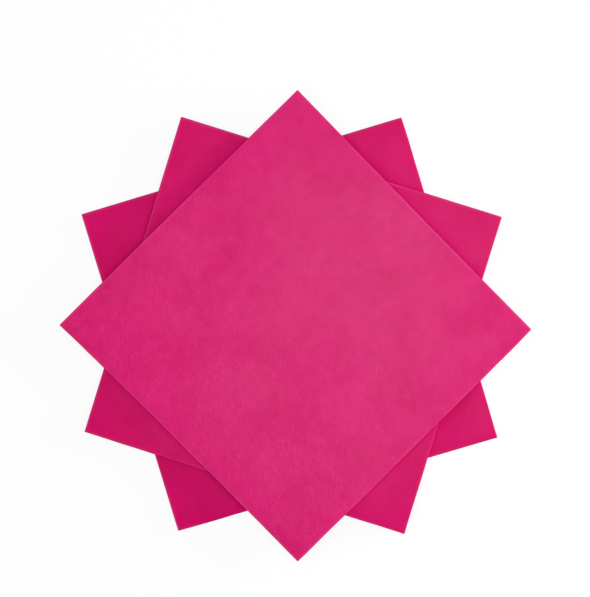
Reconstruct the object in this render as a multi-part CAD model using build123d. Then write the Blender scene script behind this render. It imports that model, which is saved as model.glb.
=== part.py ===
from build123d import *
import os
from math import pi

# Three soft paper napkins lying on each other, fanned so that their corners make a star. Each is one
# square sheet folded in half, then in half again across the first fold. Millimetres, +Z up, with the
# origin on the table under the middle of the star.

# The sheet and how loosely it is folded
sheet_side = 330.0
paper_thickness = 0.22
first_fold_gap = 0.12
second_fold_gap = 0.18

# The fan: where each napkin's folded corner points, in degrees from +X, and where its middle lies
# beside that of the top napkin
bottom_turn = 151.7
middle_turn = 117.7
top_turn = 89.7
bottom_offset_x = -3.4
bottom_offset_y = 0.7
middle_offset_x = -1.9
middle_offset_y = 0.7

# Heights of the sheet folded once and folded twice
half_height = 2 * paper_thickness + first_fold_gap
napkin_height = 2 * half_height + second_fold_gap

# Bend radii at the middle of the paper. The second fold has one bend inside another.
first_bend = (first_fold_gap + paper_thickness) / 2
inner_bend = (second_fold_gap + paper_thickness) / 2
outer_bend = (napkin_height - paper_thickness) / 2

# Flat reach of the leaves, from a bend to the cut edge. Both bends of the second fold use up the same
# sheet, so the two inner leaves reach further than the two outer ones.
leaf_width = (sheet_side - pi * first_bend) / 2
inner_leaf_length = (sheet_side - pi * inner_bend) / 2
outer_leaf_length = (sheet_side - pi * outer_bend) / 2
leaf_step = inner_leaf_length - outer_leaf_length


def once_folded_section():
    """Outline across the first fold: two leaves along -Y and the round bend that joins them at y = 0."""
    upper_inside = half_height - paper_thickness
    middle = half_height / 2
    outline = [
        Line((-leaf_width, 0), (0, 0)),
        ThreePointArc((0, 0), (half_height / 2, middle), (0, half_height)),
        Line((0, half_height), (-leaf_width, half_height)),
        Line((-leaf_width, half_height), (-leaf_width, upper_inside)),
        Line((-leaf_width, upper_inside), (0, upper_inside)),
        ThreePointArc((0, upper_inside), (first_fold_gap / 2, middle), (0, paper_thickness)),
        Line((0, paper_thickness), (-leaf_width, paper_thickness)),
        Line((-leaf_width, paper_thickness), (-leaf_width, 0)),
    ]
    return Plane.YZ * make_face(outline)


def folded_napkin():
    """One sheet folded twice, its middle at the origin, the folded corner between +X and +Y."""
    section = once_folded_section()
    lower = extrude(section, amount=inner_leaf_length, dir=(-1, 0, 0))

    # The outer leaf ends short of the inner one on the open side that faces the second fold
    beyond_outer_leaf = Box(
        leaf_step,
        2 * sheet_side,
        half_height / 2,
        align=(Align.MIN, Align.CENTER, Align.MIN),
    )
    lower -= Pos(-inner_leaf_length, 0, 0) * beyond_outer_leaf

    # The second fold turns the folded section over, about a line along the second crease
    crease = Axis((0, 0, napkin_height / 2), (0, -1, 0))
    bend = revolve(section, axis=crease, revolution_arc=180)
    upper = mirror(lower, about=Plane.XY.offset(napkin_height / 2))

    middle_x = (napkin_height / 2 - inner_leaf_length) / 2
    middle_y = (half_height / 2 - leaf_width) / 2
    return Pos(-middle_x, -middle_y, 0) * (lower + bend + upper)


def laid_napkin(name, level, turn, offset_x, offset_y):
    """A napkin on its place in the stack, with `level` others under it."""
    folded_corner = 45.0
    place = Pos(offset_x, offset_y, level * napkin_height) * Rot(0, 0, turn - folded_corner)
    napkin = place * folded_napkin()
    napkin.label = name
    return napkin


stack = [
    laid_napkin("bottom_napkin", 0, bottom_turn, bottom_offset_x, bottom_offset_y),
    laid_napkin("middle_napkin", 1, middle_turn, middle_offset_x, middle_offset_y),
    laid_napkin("top_napkin", 2, top_turn, 0.0, 0.0),
]

# The origin goes under the middle of the whole outline
boxes = [napkin.bounding_box() for napkin in stack]
centre_x = (min(box.min.X for box in boxes) + max(box.max.X for box in boxes)) / 2
centre_y = (min(box.min.Y for box in boxes) + max(box.max.Y for box in boxes)) / 2

os.makedirs("parts", exist_ok=True)
for napkin in stack:
    export_step(Pos(-centre_x, -centre_y, 0) * napkin, f"parts/{napkin.label}.step")
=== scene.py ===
import math

import bpy
import numpy as np
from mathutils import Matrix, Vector


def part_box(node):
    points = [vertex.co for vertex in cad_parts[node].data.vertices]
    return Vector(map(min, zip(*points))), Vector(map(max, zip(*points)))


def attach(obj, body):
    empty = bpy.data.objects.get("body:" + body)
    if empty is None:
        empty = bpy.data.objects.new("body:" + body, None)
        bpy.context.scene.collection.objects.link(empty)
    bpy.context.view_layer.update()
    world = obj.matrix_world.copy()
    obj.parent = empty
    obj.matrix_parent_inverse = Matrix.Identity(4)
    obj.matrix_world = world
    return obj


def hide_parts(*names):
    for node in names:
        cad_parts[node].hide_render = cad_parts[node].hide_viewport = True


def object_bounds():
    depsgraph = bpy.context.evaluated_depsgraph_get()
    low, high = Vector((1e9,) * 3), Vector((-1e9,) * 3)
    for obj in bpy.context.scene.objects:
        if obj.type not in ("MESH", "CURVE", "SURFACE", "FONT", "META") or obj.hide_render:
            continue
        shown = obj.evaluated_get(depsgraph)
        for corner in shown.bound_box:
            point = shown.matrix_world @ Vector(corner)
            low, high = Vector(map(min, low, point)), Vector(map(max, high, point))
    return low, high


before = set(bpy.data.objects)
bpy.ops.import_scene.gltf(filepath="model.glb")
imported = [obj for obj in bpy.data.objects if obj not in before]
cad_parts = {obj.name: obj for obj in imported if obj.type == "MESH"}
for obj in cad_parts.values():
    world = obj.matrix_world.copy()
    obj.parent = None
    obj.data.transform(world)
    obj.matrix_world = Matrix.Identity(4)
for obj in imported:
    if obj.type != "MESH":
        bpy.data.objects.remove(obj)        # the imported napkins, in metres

mm = 0.001
cadLow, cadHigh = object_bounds()
print("frame loaded:", ", ".join(sorted(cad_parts)))

# one square sheet, folded in half and in half again
clearance = 0.03 * mm                # between napkins
packedLow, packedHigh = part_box("top_napkin")
sheet = {
    "side": 330.0 * mm,              # cut size
    "paper": 0.22 * mm,              # one leaf
    "height": packedHigh.z - packedLow.z - clearance,    # four leaves and the air between them
    "firstGapShare": 0.28,           # part of that air inside each first fold, the rest is in the second
    "gapSwing": 0.35,                # how far that part comes and goes over the leaves
    "gapSize": 60.0 * mm,
    "leastAir": 0.10 * mm,           # left between the leaves where they are pressed together
    "foldRoll": 0.05 * mm,           # how far the top leaf comes down towards a folded side
    "openRoll": 0.08 * mm,           # and towards a cut side
    "rollWidth": 3.5 * mm,           # width over which it comes down
    "dentDepth": 0.10 * mm,          # shallow hollows where the leaves lie closer
    "dentSize": 52.0 * mm,
    "spreadSize": 22.0 * mm,         # how far from the open corner the loose leaves part
    "edgeWave": 0.13 * mm,           # unevenness of the cut edges
    "edgeWaveSize": 34.0 * mm,
    "edgeWaveFade": 14,              # power of the reach, which keeps the waves near the cut
    "kinkWidth": 3.4 * mm,
    "kinkTurns": 2.4,                # how fast its sine turns, in radians over that width
    "kinkFade": 40,                  # power of the reach, as for the waves
    "sideWave": 0.06 * mm,           # unevenness of all sides
    "sideWaveSize": 150.0 * mm,
    "edgeTaper": 0.20,               # pressed-down share of the paper at a cut edge
    "taperWidth": 0.5 * mm,
    "edgeRound": 0.04 * mm,          # how far the cut edge bulges
    # paler fibres along cuts and folds, partly a painted highlight on the edges
    "fuzzWidth": 0.45 * mm,          # paler fibres along a cut
    "creaseWidth": 0.40 * mm,        # paler fibres along a fold
    "firstCrease": 0.70,             # how pale the first fold is, pressed flat under the second
    "secondCrease": 0.55,
    "paleSwing": (0.8, 0.5, 1.5),    # edges paler and less pale in turn: mean, swing and most
    "paleSize": 45.0 * mm,
    # where the painted shade down the sides of folds and cuts begins, and how much of it the very cut gets
    "sideFrom": 0.5,                 # part of a bend's way out from which it counts as the side of the fold
    "sideOver": 0.4,                 # and over which it comes to count in full
    "cutSide": 0.4,                  # how far the very edge of a cut counts as a side
    "squareness": 0.6,               # bends pressed from half rounds (1) towards square ones (0)
    "crowding": 0.95,                # how much closer the rows lie at cuts and bends
    "leafCells": 92,
    "bendCells": 16,
}

# the fan, from the table up; fours of corners go round from the folded one, fours of sides from the second
# fold by the first
napkins = {
    "bottomNapkin": {
        "node": "bottom_napkin",
        "under": None,                       # the napkin it lies on
        "turn": 151.7,                       # heading of the folded corner, in degrees
        "tipSag": (0.0, 0.0, 0.0, 0.0),      # how far each free tip hangs, or lifts where negative, in mm
        "nudge": ((-0.5, 0.75), (0.5, -0.05), (-0.5, 0.0), (0.0, 0.0)),  # corners, along its sides, mm
        "bow": (0.0, 0.0, 0.0, 0.0),         # how far the middle of each side stands out, in mm
        "misfold": 0.30 * mm,                # how far the inner leaves show past the outer ones
        "slip": 0.20 * mm,                   # how far the outer leaf slid up round the second fold
        "spread": 0.15 * mm,                 # how far the loose leaves part at the open corner
        "kink": (-31.0 * mm, 0.10 * mm),     # in the side across from the second fold: place and depth
        # the paper's colour, deepest on this bottom napkin: partly painted shade
        "shade": (0.650, 0.0010, 0.124),
        "fuzzAndHighlight": 0.30,                        # how pale the cut edges are, partly a painted highlight on them
        "pressed": 0.050,                    # faint sheen of fibres rolled flat
        "slowShadeReturn": (1.0, 1.0),            # how much slower the painted shade in the sheen fades beside a cover's two folds
        "pits": 0.1,                         # how pitted the paper is towards the side with the kink
        "speck": None,                       # place of a dark fibre on the flat sheet
        "cutFrom": 137.0,                    # place along the roll in mm, which sets the clouds and fibres
        "seed": 11,
    },
    "middleNapkin": {
        "node": "middle_napkin",
        "under": "bottomNapkin",
        "turn": 117.7,
        "tipSag": (0.12, 0.35, 0.25, -0.10),
        "nudge": ((-0.6, 1.0), (1.4, 0.3), (0.0, -1.1), (-0.7, -0.3)),
        "bow": (0.0, 0.0, 0.0, 0.0),
        "misfold": -0.25 * mm,
        "slip": 0.42 * mm,
        "spread": 0.25 * mm,
        "kink": (24.0 * mm, 0.42 * mm),
        # the paper's colour, a little deeper on this middle napkin: partly painted shade
        "shade": (0.660, 0.0032, 0.130),
        "fuzzAndHighlight": 0.65,
        "pressed": 0.060,
        "slowShadeReturn": (3.0, 6.0),
        "pits": 0.1,
        "speck": None,
        "cutFrom": 1369.0,
        "seed": 23,
    },
    "topNapkin": {
        "node": "top_napkin",
        "under": "middleNapkin",
        "turn": 89.7,
        "tipSag": (0.15, 0.15, 0.40, 0.15),
        "nudge": ((0.2, 0.4), (-0.3, 0.6), (1.1, -0.7), (-1.0, -0.4)),
        "bow": (-0.24, 0.12, -0.66, 0.15),
        "misfold": 0.22 * mm,
        "slip": 0.46 * mm,
        "spread": 0.55 * mm,
        "kink": (12.0 * mm, 0.06 * mm),
        # the paper's colour, paler and whiter on this top napkin: partly painted sheen
        "shade": (0.695, 0.0122, 0.160),
        "fuzzAndHighlight": 0.90,
        "pressed": 0.072,
        "slowShadeReturn": (1.0, 1.0),
        "pits": 1.0,
        "speck": (0.618, 0.2515),
        "cutFrom": 1916.0,
        "seed": 37,
    },
}
sag = {
    "start": 8.0 * mm,               # the sag begins this far inside the edge of the napkin below
    "reach": 37.0 * mm,              # from there to the tip
    "swing": 0.22,                   # how uneven it is
    "swingSize": 190.0 * mm,
}
farOff = 30.0 * mm                   # distance given to places that no cover is near


# sum of cosine waves with seeded directions and phases, 0.7 to 1.6 times size long; about -1 to 1
def softWaves(a, b, size, seed, count=10):
    draw = np.random.default_rng(seed)
    heading = draw.uniform(0.0, 2.0 * math.pi, count)
    length = size * draw.uniform(0.7, 1.6, count)
    phase = draw.uniform(0.0, 2.0 * math.pi, count)
    total = np.zeros(np.broadcast(a, b).shape)
    for turn, wave, start in zip(heading, length, phase):
        total += np.cos(2.0 * math.pi * (a * math.cos(turn) + b * math.sin(turn)) / wave + start)
    return total / math.sqrt(2.0 * count)


# one folded direction of the sheet: leaf, bend, leaf
# reach runs 1 at the cut edge to 0 at the bend and back to 1, its rows crowded at both ends of a leaf:
# t - crowding sin(2 pi t) / 2 pi; angle stays 0, turns to pi in the bend and stays pi
def foldedDirection(leafCells, bendCells):
    t = np.linspace(0.0, 1.0, leafCells + 1)
    leaf = t - sheet["crowding"] * np.sin(2.0 * math.pi * t) / (2.0 * math.pi)
    bend = np.linspace(0.0, math.pi, bendCells + 1)[1:-1]
    reach = np.concatenate((leaf[::-1], np.zeros(len(bend)), leaf))
    angle = np.concatenate((np.zeros(leafCells + 1), bend, np.full(leafCells + 1, math.pi)))
    return reach, angle


# how far a bend has turned over, 0 to 1, and how far it stands out: (1 - cos) / 2 and sin of its angle,
# with cos and sin raised to the squareness, which makes the half round a superellipse
def pressedBend(angle):
    turned, out = np.cos(angle), np.maximum(np.sin(angle), 0.0)
    power = sheet["squareness"]
    return 0.5 - 0.5 * np.sign(turned) * np.abs(turned) ** power, out ** power * (out > 1e-9)


# a napkin's middle on the table: the middle of its packed box
def middleOf(napkin):
    low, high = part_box(napkin["node"])
    return 0.5 * (low.x + high.x), 0.5 * (low.y + high.y)


# angle of a napkin's own x from the table's: the heading of its folded corner less half a right angle
def turnOf(napkin):
    return math.radians(napkin["turn"] - 45.0)


# table coordinates seen along a napkin's own folded sides: taken from its middle and turned back
def alongSides(napkin, x, y):
    middleX, middleY = middleOf(napkin)
    turn = turnOf(napkin)
    dx, dy = x - middleX, y - middleY
    return dx * math.cos(turn) + dy * math.sin(turn), dy * math.cos(turn) - dx * math.sin(turn)


# how far over a folded napkin a place lies, 0 to 1 from each cut side to the fold across from it
def overNapkin(x, y):
    return 0.5 + x / (0.5 * sheet["side"]), 0.5 + y / (0.5 * sheet["side"])


# shares of the four corners in a place, round from the folded one: u v, (1 - u) v, (1 - u)(1 - v), u (1 - v)
def cornerShares(x, y):
    u, v = overNapkin(x, y)
    return u * v, (1.0 - u) * v, (1.0 - u) * (1.0 - v), u * (1.0 - v)


# how far bowed sides and nudged corners draw a place of a napkin, along its own sides: the bows fall off as
# 4 v (1 - v) towards the corners, the nudges go by the share of each corner
def drawnBy(napkin, x, y):
    u, v = overNapkin(x, y)
    nudge = np.array(napkin["nudge"]) * mm
    secondFold, firstFold, secondCut, firstCut = np.array(napkin["bow"]) * mm
    moveX = 4.0 * v * (1.0 - v) * (secondFold * u - secondCut * (1.0 - u))
    moveY = 4.0 * u * (1.0 - u) * (firstFold * v - firstCut * (1.0 - v))
    shares = cornerShares(x, y)
    moveX = moveX + sum(share * move[0] for share, move in zip(shares, nudge))
    moveY = moveY + sum(share * move[1] for share, move in zip(shares, nudge))
    return moveX, moveY


# height at which a napkin lies: one napkin and one clearance more than the one below, from 0 on the table
def restLevel(napkin):
    if napkin["under"] is None:
        return 0.0
    return restLevel(napkins[napkin["under"]]) + sheet["height"] + clearance


# underside of a napkin: its level, less a sag that grows with the square of the distance past the edge of
# the napkin it lies on, as deep as the tips' sags mixed by corner
def restHeight(napkin, x, y):
    if napkin["under"] is None:
        return np.zeros_like(x)
    across, along = alongSides(napkins[napkin["under"]], x, y)
    half = 0.25 * sheet["side"]
    past = np.maximum(np.maximum(np.abs(across), np.abs(along)) - half + sag["start"], 0.0)
    uneven = 1.0 + sag["swing"] * softWaves(x, y, sag["swingSize"], napkin["seed"] + 5)
    shares = cornerShares(*alongSides(napkin, x, y))
    depth = sum(share * tip * mm for share, tip in zip(shares, napkin["tipSag"]))
    return restLevel(napkin) - depth * uneven * (past / sag["reach"]) ** 2


# how far a place lies outside the napkins that cover this one, negative under them: divided by the slow
# return of the painted shade in the sheen beside their folds, and by how many napkins up the cover lies
def coverDistance(napkin, x, y):
    order = list(napkins.values())
    covering = order[order.index(napkin) + 1:]
    half = 0.25 * sheet["side"]
    slowSecond, slowFirst = napkin["slowShadeReturn"]
    outside = np.full(x.shape, farOff)
    for steps, cover in enumerate(covering, start=1):
        across, along = alongSides(cover, x, y)
        moveX, moveY = drawnBy(cover, across, along)
        pastFolds = np.maximum((across - moveX - half) / slowSecond, (along - moveY - half) / slowFirst)
        pastCuts = np.maximum(moveX - across, moveY - along) - half
        outside = np.minimum(outside, np.maximum(pastFolds, pastCuts) / steps)
    return outside


# how far the top leaf comes down beside an edge: depth times e to the minus distance over the roll's width
def rollOff(depth, distance):
    return depth * np.exp(-np.maximum(distance, 0.0) / sheet["rollWidth"])


# the sheet's middle surface over (s, r): s crosses the first fold, r the second. Four leaf heights are
# mixed by how far the two bends have turned over, and the bends stand out by their radius
def foldedSheet(napkin):
    side, paper, gapShare = sheet["side"], sheet["paper"], sheet["firstGapShare"]
    seed = napkin["seed"]
    reach, angle = foldedDirection(sheet["leafCells"], sheet["bendCells"])
    reachS, angleS = reach[:, None], angle[:, None]
    reachR, angleR = reach[None, :], angle[None, :]
    inner, outS = pressedBend(angleS)
    upper, outR = pressedBend(angleR)

    air = sheet["height"] - 4.0 * paper
    firstBend = 0.5 * (paper + gapShare * air)
    innerBend = 0.5 * (paper + (1.0 - 2.0 * gapShare) * air)
    outerBend = 0.5 * (sheet["height"] - paper)
    secondBend = outerBend + (innerBend - outerBend) * inner
    width = 0.5 * (side - math.pi * firstBend)
    slid = napkin["slip"] * (1.0 - inner)
    length = 0.5 * (side - math.pi * secondBend) + slid * (2.0 * upper - 1.0)
    bendX = 0.25 * (side - math.pi * innerBend) - 0.25 * sheet["height"]
    bendY = 0.5 * width - 0.25 * (2.0 * paper + gapShare * air)

    # place on the flat sheet: along the leaf, and along the arc inside a bend
    quarter = 0.5 * math.pi
    sheetR = (angleR - quarter) * secondBend + np.sign(angleR - quarter) * reachR * length - slid
    sheetS = (angleS - quarter) * firstBend + np.sign(angleS - quarter) * reachS * width
    sheetS = np.broadcast_to(sheetS, sheetR.shape)

    # place of the leaves on the table: uneven at the cuts, with a kink as a sine under a bell
    leafApart = 0.35 * side              # the waves of one leaf's edge aren't those of the next
    wave, waveSize, waveFade = sheet["edgeWave"], sheet["edgeWaveSize"], sheet["edgeWaveFade"]
    waveX = wave * softWaves(sheetS, leafApart * upper, waveSize, seed + 1) * reachR ** waveFade
    waveY = wave * softWaves(sheetR, leafApart * inner, waveSize, seed + 2) * reachS ** waveFade
    leafY = bendY - reachS * (width + napkin["misfold"] * (inner - 0.5)) + waveY
    kinkPlace, kinkDepth = napkin["kink"]
    alongKink = (leafY - kinkPlace) / sheet["kinkWidth"]
    kink = kinkDepth * np.sin(sheet["kinkTurns"] * alongKink) * np.exp(-alongKink ** 2)
    waveX = waveX + kink * reachR ** sheet["kinkFade"]
    leafX = bendX - reachR * length + waveX

    # height over the leaves: full in the middle, rolled off at the four sides, with shallow dents
    dent = 0.5 + 0.5 * softWaves(leafX, leafY, sheet["dentSize"], seed + 3)
    height = sheet["height"] - sheet["dentDepth"] * np.clip(dent, 0.0, 1.0)
    height -= rollOff(sheet["foldRoll"], bendX - leafX) + rollOff(sheet["foldRoll"], bendY - leafY)
    height -= rollOff(sheet["openRoll"], leafX + bendX) + rollOff(sheet["openRoll"], leafY + bendY)
    fromCorner = np.hypot((1.0 - reachS) * width, (1.0 - reachR) * length)
    height += napkin["spread"] * np.exp(-(fromCorner / sheet["spreadSize"]) ** 2)
    slack = np.maximum(height - 4.0 * paper, sheet["leastAir"])
    lowGap = softWaves(leafX, leafY, sheet["gapSize"], seed + 6)
    highGap = softWaves(leafX, leafY, sheet["gapSize"], seed + 7)

    leaf1 = 0.5 * paper
    leaf2 = leaf1 + paper + gapShare * (1.0 + sheet["gapSwing"] * lowGap) * slack
    leaf4 = 4.0 * paper + slack - 0.5 * paper
    leaf3 = leaf4 - paper - gapShare * (1.0 + sheet["gapSwing"] * highGap) * slack
    low = leaf1 + (leaf2 - leaf1) * inner
    high = leaf4 + (leaf3 - leaf4) * inner
    z = low + (high - low) * upper
    x = leafX + 0.5 * (high - low) * outR
    y = leafY + 0.5 * ((leaf2 - leaf1) * (1.0 - upper) + (leaf4 - leaf3) * upper) * outS

    # uneven sides, then the four corners drawn to where they lie, all in the plane of the table
    x = x + sheet["sideWave"] * softWaves(x, y, sheet["sideWaveSize"], seed + 8)
    y = y + sheet["sideWave"] * softWaves(x, y, sheet["sideWaveSize"], seed + 9)
    moveX, moveY = drawnBy(napkin, x, y)
    x, y = x + moveX, y + moveY
    middleX, middleY = middleOf(napkin)
    turn = turnOf(napkin)
    tableX = middleX + x * math.cos(turn) - y * math.sin(turn)
    tableY = middleY + x * math.sin(turn) + y * math.cos(turn)
    surface = np.stack((tableX, tableY, z + restHeight(napkin, tableX, tableY)), axis=-1)

    # what the material reads: pale edges with a painted highlight, painted shade on the sides of folds and
    # cuts, and the place on the flat sheet
    fromCut = 0.5 * side * np.minimum(1.0 - reachS, 1.0 - reachR)
    # paler fibres along cuts and folds, partly a painted highlight on the edges
    fuzzAndHighlight = napkin["fuzzAndHighlight"] * np.exp(-fromCut / sheet["fuzzWidth"])
    firstCrease = sheet["firstCrease"] * np.exp(-0.5 * side * reachS / sheet["creaseWidth"])
    secondCrease = sheet["secondCrease"] * np.exp(-0.5 * side * reachR / sheet["creaseWidth"])
    mean, swing, most = sheet["paleSwing"]
    uneven = np.clip(mean + swing * softWaves(tableX, tableY, sheet["paleSize"], seed + 131), 0.0, most)
    paleAndHighlight = np.maximum(fuzzAndHighlight, np.maximum(firstCrease, secondCrease)) * uneven
    # painted shade down the sides of folds and cuts: 0 on the faces, up to 1 where a bend turns down, less
    # at the very cut
    paintedSideMask = np.clip((np.maximum(outS, outR) - sheet["sideFrom"]) / sheet["sideOver"], 0.0, 1.0)
    paintedSideMask = np.where(fromCut < 0.001 * mm, sheet["cutSide"], paintedSideMask)
    flat = np.stack((0.5 + sheetR / side, 0.5 + sheetS / side), axis=-1)
    return surface, fromCut, paleAndHighlight, paintedSideMask, flat, coverDistance(napkin, tableX, tableY)


# both faces of the paper lie half its thickness along the surface normal, and a rounded rim joins them
def paperMesh(name, surface, fromCut, paleAndHighlight, paintedSideMask, flat, cover):
    rows, columns = fromCut.shape
    along = np.gradient(surface, axis=0)
    across = np.gradient(surface, axis=1)
    normal = np.cross(along, across)
    normal /= np.linalg.norm(normal, axis=-1, keepdims=True)
    taper = 1.0 - sheet["edgeTaper"] * np.exp(-fromCut / sheet["taperWidth"])
    offset = normal * (0.5 * sheet["paper"] * taper)[..., None]

    index = np.arange(rows * columns).reshape(rows, columns)
    loop = np.concatenate((index[:-1, 0], index[-1, :-1], index[:0:-1, -1], index[0, :0:-1]))
    i, j = np.divmod(loop, columns)
    inside = surface[np.clip(i, 1, rows - 2), np.clip(j, 1, columns - 2)]
    outward = surface[i, j] - inside
    outward /= np.linalg.norm(outward, axis=-1, keepdims=True)
    rim = surface[i, j] + sheet["edgeRound"] * outward

    count = rows * columns
    points = np.concatenate(((surface + offset).reshape(-1, 3), (surface - offset).reshape(-1, 3), rim))
    upside = np.stack((index[:-1, :-1], index[1:, :-1], index[1:, 1:], index[:-1, 1:]), axis=-1)
    upside = upside.reshape(-1, 4)
    underside = upside[:, ::-1] + count
    here = np.arange(len(loop))
    there = np.roll(here, -1)
    rimHere, rimThere = 2 * count + here, 2 * count + there
    rimUp = np.stack((loop[there], loop[here], rimHere, rimThere), axis=-1)
    rimDown = np.stack((rimThere, rimHere, count + loop[here], count + loop[there]), axis=-1)
    quads = np.concatenate((upside, underside, rimUp, rimDown))

    mesh = bpy.data.meshes.new(name)
    mesh.vertices.add(len(points))
    mesh.vertices.foreach_set("co", points.ravel())
    mesh.loops.add(quads.size)
    mesh.loops.foreach_set("vertex_index", quads.ravel())
    mesh.polygons.add(len(quads))
    mesh.polygons.foreach_set("loop_start", np.arange(0, quads.size, 4))
    mesh.polygons.foreach_set("use_smooth", np.ones(len(quads), dtype=bool))
    mesh.update(calc_edges=True)

    flatPoints = flat.reshape(-1, 2)
    uv = np.concatenate((flatPoints, flatPoints, flatPoints[loop]))
    mesh.uv_layers.new(name="sheet").data.foreach_set("uv", uv[quads.ravel()].ravel())
    paleAndHighlight, turned, millimetres = paleAndHighlight.ravel(), paintedSideMask.ravel(), cover.ravel() / mm
    readings = {
        "paleEdgeAndHighlight": (paleAndHighlight, paleAndHighlight[loop]),
        # painted shade mask, 1 on the rim
        "paintedSideMask": (turned, np.ones(len(loop))),          # 1 on the sides of folds and cuts
        "coverDistance": (millimetres, millimetres[loop]),
    }
    for label, (onFaces, onRim) in readings.items():
        reading = mesh.attributes.new(label, "FLOAT", "POINT")
        reading.data.foreach_set("value", np.concatenate((onFaces, onFaces, onRim)))
    mesh.validate()
    return mesh


# a shader node group with named sockets, and its two ends
def newGroup(name, inputs, outputs):
    group = bpy.data.node_groups.new(name, "ShaderNodeTree")
    for label, kind, value in inputs:
        socket = group.interface.new_socket(label, in_out="INPUT", socket_type=kind)
        if value is not None:
            socket.default_value = value
    for label, kind in outputs:
        group.interface.new_socket(label, in_out="OUTPUT", socket_type=kind)
    return group, group.nodes.new("NodeGroupInput"), group.nodes.new("NodeGroupOutput")


# a node with its settings, and fixed values on its sockets
def addNode(tree, kind, values=None, **settings):
    node = tree.nodes.new(kind)
    for label, value in settings.items():
        setattr(node, label, value)
    for label, value in (values or {}).items():
        node.inputs[label].default_value = value
    return node


# one sum of two numbers, each of them a socket or fixed
def addMath(tree, operation, first, second=None, clamp=False):
    node = addNode(tree, "ShaderNodeMath", operation=operation, use_clamp=clamp)
    for place, value in enumerate((first, second)):
        if value is None:
            continue
        if isinstance(value, (int, float)):
            node.inputs[place].default_value = value
        else:
            tree.links.new(value, node.inputs[place])
    return node.outputs[0]


# value times slope, plus start
def addLine(tree, value, slope, start, clamp=False):
    return addMath(tree, "ADD", addMath(tree, "MULTIPLY", value, slope), start, clamp)


# from the first to the second by the factor; a tuple is a fixed colour, all else a socket
def addMix(tree, factor, first, second, kind="RGBA"):
    node = addNode(tree, "ShaderNodeMix", data_type=kind)
    tree.links.new(factor, node.inputs["Factor"])
    for label, value in (("A", first), ("B", second)):
        if isinstance(value, tuple):
            node.inputs[label].default_value = value
        else:
            tree.links.new(value, node.inputs[label])
    return node.outputs["Result"]


# value moved from one range to another, and held within it
def addRange(tree, value, limits):
    node = addNode(tree, "ShaderNodeMapRange", limits)
    tree.links.new(value, node.inputs["Value"])
    return node.outputs[0]


# vector over size, so that one unit of noise is one feature of that size
def sizedVector(tree, vector, size):
    scaled = addNode(tree, "ShaderNodeVectorMath", operation="SCALE")
    tree.links.new(vector, scaled.inputs[0])
    tree.links.new(addMath(tree, "DIVIDE", 1.0, size), scaled.inputs["Scale"])
    return scaled.outputs[0]


# noise over a vector
def addNoise(tree, vector, values):
    noise = addNode(tree, "ShaderNodeTexNoise", {"Scale": 1.0, **values})
    tree.links.new(vector, noise.inputs["Vector"])
    return noise.outputs[0]


# cloudy formation of the fibres: broad and fine noise mixed by share, about 0.5 in the middle
def makeFibreClouds():
    group, given, result = newGroup(
        "fibreClouds",
        (("Vector", "NodeSocketVector", None), ("Broad Size", "NodeSocketFloat", 18.0),
         ("Fine Size", "NodeSocketFloat", 4.0), ("Fine Share", "NodeSocketFloat", 0.4)),
        (("Cloud", "NodeSocketFloat"),))
    vector = given.outputs["Vector"]
    broadPlace = sizedVector(group, vector, given.outputs["Broad Size"])
    broad = addNoise(group, broadPlace, {"Detail": 2.0, "Roughness": 0.55})
    finePlace = sizedVector(group, vector, given.outputs["Fine Size"])
    fine = addNoise(group, finePlace, {"Detail": 3.0, "Roughness": 0.6})
    cloud = addMix(group, given.outputs["Fine Share"], broad, fine, kind="FLOAT")
    group.links.new(cloud, result.inputs["Cloud"])
    return group


# short loose fibres: noise drawn out along three headings, cut off above a threshold
def makeLooseFibres():
    group, given, result = newGroup(
        "looseFibres",
        (("Vector", "NodeSocketVector", None), ("Fibre Length", "NodeSocketFloat", 2.2),
         ("Fibre Width", "NodeSocketFloat", 0.35), ("Threshold", "NodeSocketFloat", 0.66)),
        (("Fibre", "NodeSocketFloat"),))
    stretch = addNode(group, "ShaderNodeCombineXYZ")
    group.links.new(addMath(group, "DIVIDE", 1.0, given.outputs["Fibre Length"]), stretch.inputs["X"])
    group.links.new(addMath(group, "DIVIDE", 1.0, given.outputs["Fibre Width"]), stretch.inputs["Y"])
    found = None
    for heading, place in ((0.3, 0.0), (1.35, 71.0), (2.45, 173.0)):     # radians, and place in the noise
        turned = addNode(group, "ShaderNodeVectorRotate", {"Angle": heading}, rotation_type="Z_AXIS")
        group.links.new(given.outputs["Vector"], turned.inputs["Vector"])
        drawn = addNode(group, "ShaderNodeVectorMath", {2: (place, place, 0.0)}, operation="MULTIPLY_ADD")
        group.links.new(turned.outputs[0], drawn.inputs[0])
        group.links.new(stretch.outputs[0], drawn.inputs[1])
        noise = addNoise(group, drawn.outputs[0], {"Detail": 1.0})
        over = addMath(group, "SUBTRACT", noise, given.outputs["Threshold"])
        mask = addMath(group, "MULTIPLY", over, 9.0, clamp=True)         # a steep but soft edge
        found = mask if found is None else addMath(group, "MAXIMUM", found, mask)
    group.links.new(found, result.inputs["Fibre"])
    return group


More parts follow.
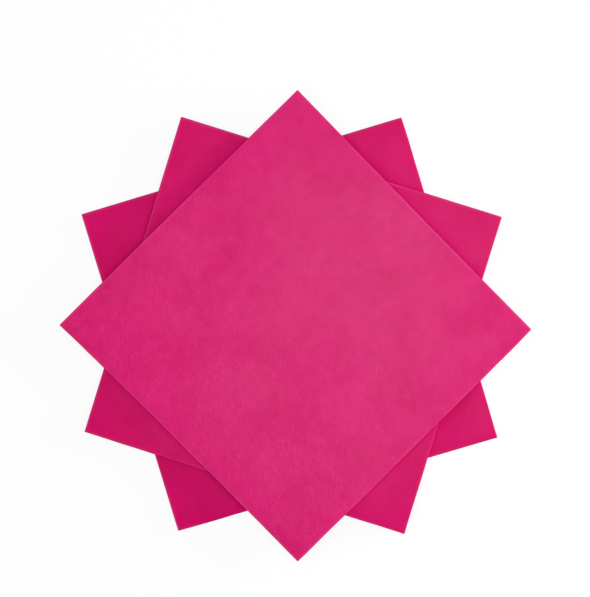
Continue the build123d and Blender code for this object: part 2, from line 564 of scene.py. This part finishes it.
# small round dots strewn about: one in each random cell of the spacing, falling from its middle to 0 at its
# rim, kept in a share of the cells, the few strongest 1 and most far less: the cube of a random number
def makeScatteredDots():
    group, given, result = newGroup(
        "scatteredDots",
        (("Vector", "NodeSocketVector", None), ("Spacing", "NodeSocketFloat", 1.5),
         ("Dot Size", "NodeSocketFloat", 0.35), ("Kept Share", "NodeSocketFloat", 0.5)),
        (("Dot", "NodeSocketFloat"),))
    cells = addNode(group, "ShaderNodeTexVoronoi", {"Scale": 1.0}, voronoi_dimensions="2D")
    cellPlace = sizedVector(group, given.outputs["Vector"], given.outputs["Spacing"])
    group.links.new(cellPlace, cells.inputs["Vector"])
    reach = addMath(group, "DIVIDE", given.outputs["Dot Size"], given.outputs["Spacing"])
    fall = addMath(group, "DIVIDE", cells.outputs["Distance"], reach)
    cone = addMath(group, "SUBTRACT", 1.0, fall, clamp=True)
    dot = addMath(group, "MULTIPLY", cone, 1.6, clamp=True)              # with a flat top
    draw = addNode(group, "ShaderNodeSeparateColor")
    group.links.new(cells.outputs["Color"], draw.inputs["Color"])
    kept = addMath(group, "LESS_THAN", draw.outputs["Red"], given.outputs["Kept Share"])
    strength = addMath(group, "POWER", draw.outputs["Green"], 3.0)
    shown = addMath(group, "MULTIPLY", addMath(group, "MULTIPLY", dot, kept), strength)
    group.links.new(shown, result.inputs["Dot"])
    return group


# soft surface of napkin paper: fine crepe lines and a pebbled felt of fibres, two noises mixed by share
def makeFeltRelief():
    group, given, result = newGroup(
        "feltRelief",
        (("Vector", "NodeSocketVector", None), ("Crepe Spacing", "NodeSocketFloat", 0.8),
         ("Pebble Size", "NodeSocketFloat", 1.1), ("Crepe Share", "NodeSocketFloat", 0.35)),
        (("Height", "NodeSocketFloat"),))
    vector = given.outputs["Vector"]
    longLines = (0.12, 1.0, 1.0)         # crepe lines, about eight times as long as their spacing
    drawn = addNode(group, "ShaderNodeVectorMath", {1: longLines}, operation="MULTIPLY")
    group.links.new(sizedVector(group, vector, given.outputs["Crepe Spacing"]), drawn.inputs[0])
    crepe = addNoise(group, drawn.outputs[0], {"Detail": 2.0, "Distortion": 0.4})
    pebblePlace = sizedVector(group, vector, given.outputs["Pebble Size"])
    pebble = addNoise(group, pebblePlace, {"Detail": 4.0, "Roughness": 0.62})
    height = addMix(group, given.outputs["Crepe Share"], pebble, crepe, kind="FLOAT")
    group.links.new(height, result.inputs["Height"])
    return group


# sizes in the groups' values are millimetres on the flat sheet
paperLook = {
    "formation": {"Broad Size": 24.0, "Fine Size": 5.0, "Fine Share": 0.50},         # clouds of dye
    "pressing": {"Broad Size": 52.0, "Fine Size": 16.0, "Fine Share": 0.40},         # clouds of sheen
    "patches": {"Broad Size": 8.0, "Fine Size": 2.5, "Fine Share": 0.35},            # where pits lie
    "pits": {"Spacing": 2.2, "Dot Size": 0.75, "Kept Share": 0.8},
    "fibres": {"Fibre Length": 2.4, "Fibre Width": 0.4, "Threshold": 0.64},
    "felt": {"Crepe Spacing": 0.9, "Pebble Size": 1.2, "Crepe Share": 0.3},
    "cloudRange": {"From Min": 0.30, "From Max": 0.70},
    "patchRange": {"From Min": 0.46, "From Max": 0.60},
    "cloudContrast": 0.075,          # each way from the napkin's colour
    "thinPaper": (1.0, 6.0, 2.2),    # where less dye lies, green and blue come up faster than red
    "fibre": (0.80, 0.050, 0.220, 1.0),      # loose fibres standing out of the surface
    "fibreAmount": 0.42,
    "fibreLeft": 0.2,                # part of them outside the pitted patches
    "edge": (0.86, 0.085, 0.280, 1.0),       # paler fibres along cuts and folds, partly a painted highlight on the edges
    "edgeAmount": 0.55,
    "paintedSideShade": 0.28,               # painted shade down the sides of folds and cuts: share of the napkin's colour left there
    "grainSlope": (1.2, -0.1),       # pitted patches grow by this from the second fold to the cut; and start
    "paintedPitShade": 0.10,                # painted shade in a pit: how much darker it is
    "speck": (0.10, 0.002, 0.02, 1.0),
    "speckSize": 0.55,               # millimetres
    "speckCore": 0.3,                # part of that within which it is darkest
    "bumpDistance": 0.035 * mm,
    "bumpStrength": 0.7,
    "smoothFelt": 0.28,              # the felt's relief outside the pitted patches
    "roughFelt": 7.4,                # and what they add to it
    "pitDepth": 18.0,                # against the felt's own relief
    "cloudRelief": 0.35,
    "fibreRelief": 0.15,
    "roughness": 0.80,
    "sheen": {"Sheen Weight": 0.02, "Sheen Roughness": 0.5, "Sheen Tint": (1.0, 0.45, 0.65, 1.0)},
    "pressedRoughness": 0.27,
    "pressedSwing": 0.42,            # how far the faint sheen comes and goes in broad clouds
    "shadedSheenShare": 0.12,            # part of the sheen left in the painted shade right beside a napkin lying on it
    "shadedSheenFade": 1.3,              # millimetres over which the painted shade in the sheen fades beside a cover one napkin high
}


# the paper of one napkin: clouds of its colour, then pits with painted shade, fibres, pale edges with a
# painted highlight, painted shade down the sides and a speck laid over each other; a thin coat for the sheen
# of pressed fibres, with painted shade in it beside the napkins above; relief of felt, clouds, fibres and
# pits
def makeNapkinPaper(name, groups, look, napkin):
    material = bpy.data.materials.new(name)
    material.use_nodes = True
    tree = material.node_tree
    tree.nodes.clear()
    link = tree.links.new
    shader = addNode(tree, "ShaderNodeBsdfPrincipled", {
        "Roughness": look["roughness"], "Specular IOR Level": 0.0,
        "Coat Roughness": look["pressedRoughness"], **look["sheen"]})
    out = addNode(tree, "ShaderNodeOutputMaterial")
    link(shader.outputs[0], out.inputs["Surface"])

    uv = addNode(tree, "ShaderNodeUVMap", uv_map="sheet")
    cutFrom, side = napkin["cutFrom"], sheet["side"] / mm
    alongRoll = (cutFrom, 0.6 * cutFrom, 0.1 * cutFrom)       # the roll runs slantwise through the noise
    onSheet = addNode(tree, "ShaderNodeMapping", {            # millimetres on the flat sheet
        "Location": alongRoll, "Scale": (side, side, 1.0)})
    link(uv.outputs[0], onSheet.inputs["Vector"])

    # a group's pattern on the flat sheet
    def pattern(group, values):
        node = addNode(tree, "ShaderNodeGroup", values, node_tree=groups[group])
        link(onSheet.outputs[0], node.inputs["Vector"])
        return node.outputs[0]

    # what the mesh holds at each point
    def reading(label):
        return addNode(tree, "ShaderNodeAttribute", attribute_name=label).outputs["Fac"]

    # the napkin's colour, painted shade and sheen included, times a share, or one share for each of red,
    # green and blue
    def shaded(share):
        return (*(np.array(napkin["shade"]) * share), 1.0)

    cloud = pattern("clouds", look["formation"])
    pressing = pattern("clouds", look["pressing"])
    patches = pattern("clouds", look["patches"])
    dots = pattern("dots", look["pits"])
    fibre = pattern("fibres", look["fibres"])
    felt = pattern("felt", look["felt"])

    # pits lie in patches, more of them towards the cut side across from the second fold
    flat = addNode(tree, "ShaderNodeSeparateXYZ")
    link(uv.outputs[0], flat.inputs[0])
    toCut = addMath(tree, "MULTIPLY", addMath(tree, "SUBTRACT", flat.outputs["X"], 0.5), 2.0)
    grain = addLine(tree, toCut, *look["grainSlope"], clamp=True)
    grain = addMath(tree, "MULTIPLY", grain, addRange(tree, patches, look["patchRange"]))
    grain = addMath(tree, "MULTIPLY", grain, napkin["pits"])
    pit = addMath(tree, "MULTIPLY", dots, grain)
    fibreHere = addLine(tree, grain, 1.0 - look["fibreLeft"], look["fibreLeft"])
    fibre = addMath(tree, "MULTIPLY", fibre, fibreHere)

    swing = look["cloudContrast"] * np.array(look["thinPaper"])
    shown = addMix(tree, addRange(tree, cloud, look["cloudRange"]), shaded(1.0 - swing), shaded(1.0 + swing))
    # painted shade in the pits
    shown = addMix(tree, pit, shown, shaded(1.0 - look["paintedPitShade"]))
    shown = addMix(tree, addMath(tree, "MULTIPLY", fibre, look["fibreAmount"]), shown, look["fibre"])
    # paler fibres and a painted highlight along cuts and folds
    paleAndHighlight = addMath(tree, "MULTIPLY", reading("paleEdgeAndHighlight"), look["edgeAmount"])
    shown = addMix(tree, paleAndHighlight, shown, look["edge"])
    # painted shade down the sides of folds and cuts
    shown = addMix(tree, reading("paintedSideMask"), shown, shaded(look["paintedSideShade"]))
    if napkin["speck"]:
        apart = addNode(tree, "ShaderNodeVectorMath", {1: (*napkin["speck"], 0.0)}, operation="DISTANCE")
        link(uv.outputs[0], apart.inputs[0])
        reach = look["speckSize"] * mm / sheet["side"]
        limits = {"From Min": reach, "From Max": look["speckCore"] * reach}
        near = addRange(tree, apart.outputs["Value"], limits)
        shown = addMix(tree, near, shown, look["speck"])
    link(shown, shader.inputs["Base Color"])

    # painted shade in the sheen beside a cover: the sheen comes back as 1 - e to the minus distance over the
    # fade
    beside = addMath(tree, "DIVIDE", reading("coverDistance"), look["shadedSheenFade"])
    beside = addMath(tree, "MAXIMUM", beside, 0.0)
    paintedSheenShade = addMath(tree, "EXPONENT", addMath(tree, "MULTIPLY", beside, -1.0))
    exposed = addMath(tree, "SUBTRACT", 1.0, addMath(tree, "MULTIPLY", paintedSheenShade, 1.0 - look["shadedSheenShare"]))
    pressed = addRange(tree, pressing, {
        **look["cloudRange"], "To Min": napkin["pressed"] * (1.0 - look["pressedSwing"]),
        "To Max": napkin["pressed"] * (1.0 + look["pressedSwing"])})
    link(addMath(tree, "MULTIPLY", exposed, pressed), shader.inputs["Coat Weight"])

    feltHeight = addLine(tree, grain, look["roughFelt"], look["smoothFelt"])
    height = addMath(tree, "MULTIPLY", felt, feltHeight)
    reliefs = ((cloud, look["cloudRelief"]), (fibre, look["fibreRelief"]), (pit, -look["pitDepth"]))
    for relief, share in reliefs:
        height = addMath(tree, "ADD", height, addMath(tree, "MULTIPLY", relief, share))
    bump = addNode(tree, "ShaderNodeBump", {
        "Strength": look["bumpStrength"], "Distance": look["bumpDistance"]})
    link(height, bump.inputs["Height"])
    link(bump.outputs[0], shader.inputs["Normal"])
    return material


groups = {"clouds": makeFibreClouds(), "fibres": makeLooseFibres(), "dots": makeScatteredDots(),
          "felt": makeFeltRelief()}
print("shader groups ready:", ", ".join(group.name for group in groups.values()))

for name, napkin in napkins.items():
    piece = bpy.data.objects.new(name, paperMesh(name, *foldedSheet(napkin)))
    bpy.context.scene.collection.objects.link(piece)
    paper = makeNapkinPaper(name + "Paper", groups, paperLook, napkin)
    piece.data.materials.append(paper)
    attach(piece, "root")
    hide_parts(napkin["node"])
    print("folded", name, "with", len(piece.data.polygons), "faces")


# white table: plain diffuse to the napkins, near white to the camera with a little of their shadow left
floorLook = {"size": 6.0, "drop": 0.1 * mm, "colour": (0.92, 0.92, 0.92, 1.0), "wash": 0.80, "white": 1.03}


# 1 for rays from the camera and for those that a gloss or glass sends on, 0 for the light on the napkins
def seenDirectly(tree):
    path = addNode(tree, "ShaderNodeLightPath")
    seen = addMath(tree, "MAXIMUM", path.outputs["Is Camera Ray"], path.outputs["Is Glossy Ray"])
    return addMath(tree, "MAXIMUM", seen, path.outputs["Is Transmission Ray"])


# one square just under the napkins, its diffuse white washed over by a white glow where it is seen directly
def makeFloor():
    reach = 0.5 * floorLook["size"]
    corners = np.array(((-1, -1), (1, -1), (1, 1), (-1, 1))) * reach
    mesh = bpy.data.meshes.new("floor")
    mesh.from_pydata([(x, y, -floorLook["drop"]) for x, y in corners], [], [(0, 1, 2, 3)])
    floor = bpy.data.objects.new("floor", mesh)
    bpy.context.scene.collection.objects.link(floor)
    material = bpy.data.materials.new("whiteTable")
    material.use_nodes = True
    tree = material.node_tree
    tree.nodes.clear()
    diffuse = addNode(tree, "ShaderNodeBsdfDiffuse", {"Color": floorLook["colour"]})
    glow = addNode(tree, "ShaderNodeEmission", {"Strength": floorLook["white"]})
    mix = addNode(tree, "ShaderNodeMixShader")
    out = addNode(tree, "ShaderNodeOutputMaterial")
    tree.links.new(addMath(tree, "MULTIPLY", seenDirectly(tree), floorLook["wash"]), mix.inputs[0])
    tree.links.new(diffuse.outputs[0], mix.inputs[1])
    tree.links.new(glow.outputs[0], mix.inputs[2])
    tree.links.new(mix.outputs[0], out.inputs["Surface"])
    mesh.materials.append(material)


# softboxes aim at the origin; heading is from the table's x and rise from the table, in degrees
lightLook = {
    "white": (1.0, 1.0, 1.0, 1.0),
    "world": 0.40,                                   # even light from all round
    "softboxes": {
        "top": {"heading": 15.0, "rise": 86.5, "distance": 1.9, "wide": 0.32, "tall": 0.32, "power": 9.1},
        "near": {"heading": -6.0, "rise": 50.0, "distance": 0.6, "wide": 0.25, "tall": 0.25, "power": 0.37},
        "low": {"heading": 10.0, "rise": 4.4, "distance": 1.6, "wide": 0.80, "tall": 0.16, "power": 49.0},
        "fill": {"heading": 180.0, "rise": 32.0, "distance": 1.2, "wide": 0.50, "tall": 0.50, "power": 2.7},
    },
}


# an even world, white where it is seen directly, and a lamp for each softbox on a sphere round the napkins
def makeLights():
    world = bpy.data.worlds.new("studio")
    bpy.context.scene.world = world
    world.use_nodes = True
    tree = world.node_tree
    tree.nodes.clear()
    colour = lightLook["white"]
    even = addNode(tree, "ShaderNodeBackground", {"Color": colour, "Strength": lightLook["world"]})
    white = addNode(tree, "ShaderNodeBackground", {"Color": colour, "Strength": 1.0})
    mix = addNode(tree, "ShaderNodeMixShader")
    out = addNode(tree, "ShaderNodeOutputWorld")
    tree.links.new(seenDirectly(tree), mix.inputs[0])
    tree.links.new(even.outputs[0], mix.inputs[1])
    tree.links.new(white.outputs[0], mix.inputs[2])
    tree.links.new(mix.outputs[0], out.inputs["Surface"])
    for name, look in lightLook["softboxes"].items():
        heading, rise = math.radians(look["heading"]), math.radians(look["rise"])
        level = math.cos(rise)
        toward = Vector((math.cos(heading) * level, math.sin(heading) * level, math.sin(rise)))
        lamp = bpy.data.lights.new(name + "Softbox", "AREA")
        lamp.shape = "RECTANGLE"
        lamp.size, lamp.size_y = look["wide"], look["tall"]
        lamp.energy = look["power"]
        softbox = bpy.data.objects.new(name + "Softbox", lamp)
        softbox.location = toward * look["distance"]
        softbox.rotation_euler = toward.to_track_quat("Z", "Y").to_euler()
        softbox.visible_camera = False
        bpy.context.scene.collection.objects.link(softbox)


# straight down on the middle of the photograph, 295 px right and 298.5 px down in its frame
cameraLook = {
    "aim": (-0.74 * mm, 13.74 * mm),
    "height": 1.5,
    "frameHeight": 295.6 * mm,                       # what the frame spans at the top napkin
    "sensor": 36.0,
}


# lens over sensor as distance over what the frame spans
def makeCamera():
    data = bpy.data.cameras.new("camera")
    data.sensor_width = cameraLook["sensor"]
    distance = cameraLook["height"] - cadHigh.z
    data.lens = cameraLook["sensor"] * distance / cameraLook["frameHeight"]
    camera = bpy.data.objects.new("camera", data)
    camera.location = (*cameraLook["aim"], cameraLook["height"])
    bpy.context.scene.collection.objects.link(camera)
    bpy.context.scene.camera = camera


makeFloor()
makeLights()
makeCamera()
bpy.context.scene.view_settings.view_transform = "Standard"
print("table, lights and camera ready")
